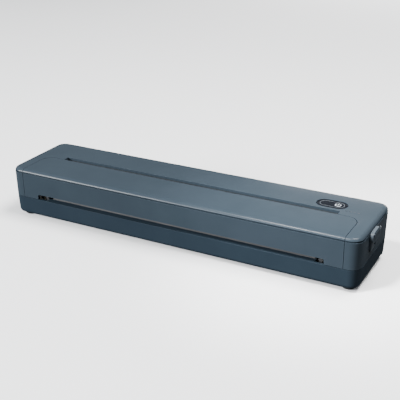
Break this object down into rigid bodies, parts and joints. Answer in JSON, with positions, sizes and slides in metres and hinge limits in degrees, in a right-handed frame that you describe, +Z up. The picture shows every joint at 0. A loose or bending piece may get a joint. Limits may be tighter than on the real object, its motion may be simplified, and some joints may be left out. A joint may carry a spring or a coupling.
{
  "type": "a4 portable thermal printer",
  "caption": "Slim portable thermal printer for A4 sheets with a hinged top cover, paper inlet and outlet slots, power button, release slider and rubber feet.",
  "frame": {"origin": "middle of the printer's bounding box on the surface that its feet stand on", "axes": "+X along the length towards the end with the release slider, -Y towards the side where the paper comes out, +Z up"},
  "size_m": [0.283, 0.066, 0.04],
  "materials": {
    "case_plastic": "fine-textured slate plastic",
    "base_plastic": "fine-textured darker slate plastic",
    "black_plastic": "matte black plastic",
    "chip_plastic": "moulded black",
    "button_plastic": "glossy black",
    "foot_rubber": "soft black rubber",
    "platen_rubber": "ground rubber",
    "zinc_steel": "zinc plated",
    "sheet_steel": "pressed sheet",
    "ground_steel": "ground",
    "spring_steel": "drawn wire",
    "heat_sink_aluminium": "extruded",
    "heating_ceramic": "glazed plate",
    "gear_plastic": "acetal",
    "bearing_plastic": "acetal",
    "white_plastic": "moulded",
    "pinion_brass": "turned",
    "circuit_board": "solder mask",
    "cell_sleeve": "shrink sleeve",
    "lamp_window": "clear light guide",
    "cable_film": "flat film cable"
  },
  "bodies": {
    "base": {"lower_shell": "base_plastic", "upper_housing": "case_plastic", "rubber_feet": "foot_rubber", "case_screws": "zinc_steel", "side_plate_left": "sheet_steel", "side_plate_right": "sheet_steel", "plate_screws": "zinc_steel", "platen_bearings": "bearing_plastic", "paper_guide": "black_plastic", "paper_sensor": "black_plastic", "drive_motor": "sheet_steel", "motor_screws": "zinc_steel", "gear_pins": "ground_steel", "battery_tray": "black_plastic", "battery_cells": "cell_sleeve", "battery_contacts": "sheet_steel", "main_board": "circuit_board", "board_screws": "zinc_steel", "board_chips": "chip_plastic", "board_socket": "white_plastic", "usb_socket": "sheet_steel", "power_switch": "black_plastic", "cover_switch": "black_plastic", "indicator_windows": "lamp_window", "hinge_pins": "ground_steel", "release_spring": "spring_steel", "head_cable": "cable_film"},
    "cover": {"top_cover": "case_plastic", "keeper_pins": "ground_steel", "head_springs": "spring_steel"},
    "head": {"heat_sink": "heat_sink_aluminium", "print_head": "heating_ceramic", "driver_board": "circuit_board", "head_socket": "white_plastic"},
    "platen": {"platen_shaft": "ground_steel", "platen_rubber": "platen_rubber", "platen_gear": "gear_plastic"},
    "idler": {"idler_gear": "gear_plastic"},
    "reduction": {"reduction_gear": "gear_plastic"},
    "rotor": {"motor_shaft": "ground_steel", "motor_pinion": "pinion_brass"},
    "slider": {"release_slider": "case_plastic"},
    "latch": {"latch_shaft": "ground_steel", "latch_hooks": "sheet_steel", "release_arm": "sheet_steel"},
    "button": {"power_button": "button_plastic", "switch_plunger": "white_plastic"}
  },
  "joints": [
    {"name": "cover_hinge", "type": "hinge", "parent": "base", "child": "cover", "pos_m": [-0.0015, -0.012, 0.036], "axis": [-1, 0, 0], "range_deg": [0, 75], "deforming": ["head_cable"]},
    {"name": "head_float", "type": "slide", "parent": "cover", "child": "head", "axis": [0, 0, 1], "range_m": [0, 0.0008], "stiffness_N_per_m": 3000, "springref_m": -0.002, "deforming": ["head_springs", "head_cable"]},
    {"name": "platen_spin", "type": "hinge", "parent": "base", "child": "platen", "pos_m": [-0.0015, -0.0205, 0.0135], "axis": [1, 0, 0], "continuous": true},
    {"name": "idler_spin", "type": "hinge", "parent": "base", "child": "idler", "pos_m": [-0.0015, -0.00855, 0.01455], "axis": [1, 0, 0], "continuous": true},
    {"name": "reduction_spin", "type": "hinge", "parent": "base", "child": "reduction", "pos_m": [-0.0015, 0.00026, 0.01642], "axis": [1, 0, 0], "continuous": true},
    {"name": "motor_spin", "type": "hinge", "parent": "base", "child": "rotor", "pos_m": [-0.0015, 0.01326, 0.01642], "axis": [1, 0, 0], "continuous": true},
    {"name": "release_slide", "type": "slide", "parent": "base", "child": "slider", "axis": [0, 1, 0], "range_m": [0, 0.0045], "stiffness_N_per_m": 600, "springref_m": -0.002, "deforming": ["release_spring"]},
    {"name": "latch_turn", "type": "hinge", "parent": "base", "child": "latch", "pos_m": [-0.0015, -0.0243, 0.0074], "axis": [-1, 0, 0], "range_deg": [0, 8.08]},
    {"name": "button_press", "type": "slide", "parent": "base", "child": "button", "axis": [0, 0, -1], "range_m": [0, 0.0006], "stiffness_N_per_m": 1500, "springref_m": -0.0003}
  ],
  "couplings": [
    {"joint": "idler_spin", "follows": "platen_spin", "ratio": -1.4},
    {"joint": "reduction_spin", "follows": "platen_spin", "ratio": 1.75},
    {"joint": "motor_spin", "follows": "platen_spin", "ratio": -5.8333},
    {"joint": "latch_turn", "follows": "release_slide", "rad_per_m": 30.958}
  ]
}
